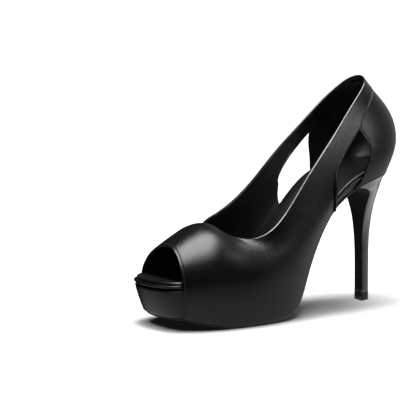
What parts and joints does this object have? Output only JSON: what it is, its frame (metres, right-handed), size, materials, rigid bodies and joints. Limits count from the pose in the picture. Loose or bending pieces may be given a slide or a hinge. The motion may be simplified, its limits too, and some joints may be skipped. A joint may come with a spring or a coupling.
{
  "type": "peep toe pump",
  "caption": "Left high-heeled platform pump with a peep toe, side cut-outs at the waist and a tapered covered heel.",
  "frame": {"origin": "centre of the shoe's bounding box at floor level", "axes": "toe towards -X, heel towards +X, outer side of the foot towards -Y, up +Z; the shoe stands on heel tip and forefoot at z = 0"},
  "size_m": [0.2228, 0.0778, 0.18],
  "materials": {
    "upper_leather": "fine-grain semi-gloss black leather",
    "wrap_leather": "fine-grain semi-gloss black leather over the front of the platform",
    "platform_leather": "black leather cover of platform and shank",
    "insole_leather": "smooth black leather sock with a rolled edge",
    "outsole": "black leather sole, edge stained black",
    "heel_cover": "smooth black leather cover, satin",
    "heel_tip": "black polyurethane top piece"
  },
  "bodies": {
    "root": {"upper": "upper_leather", "toe_wrap": "wrap_leather", "platform": "platform_leather", "insole": "insole_leather", "outsole": "outsole", "heel": "heel_cover", "heel_tip": "heel_tip"}
  },
  "joints": []
}
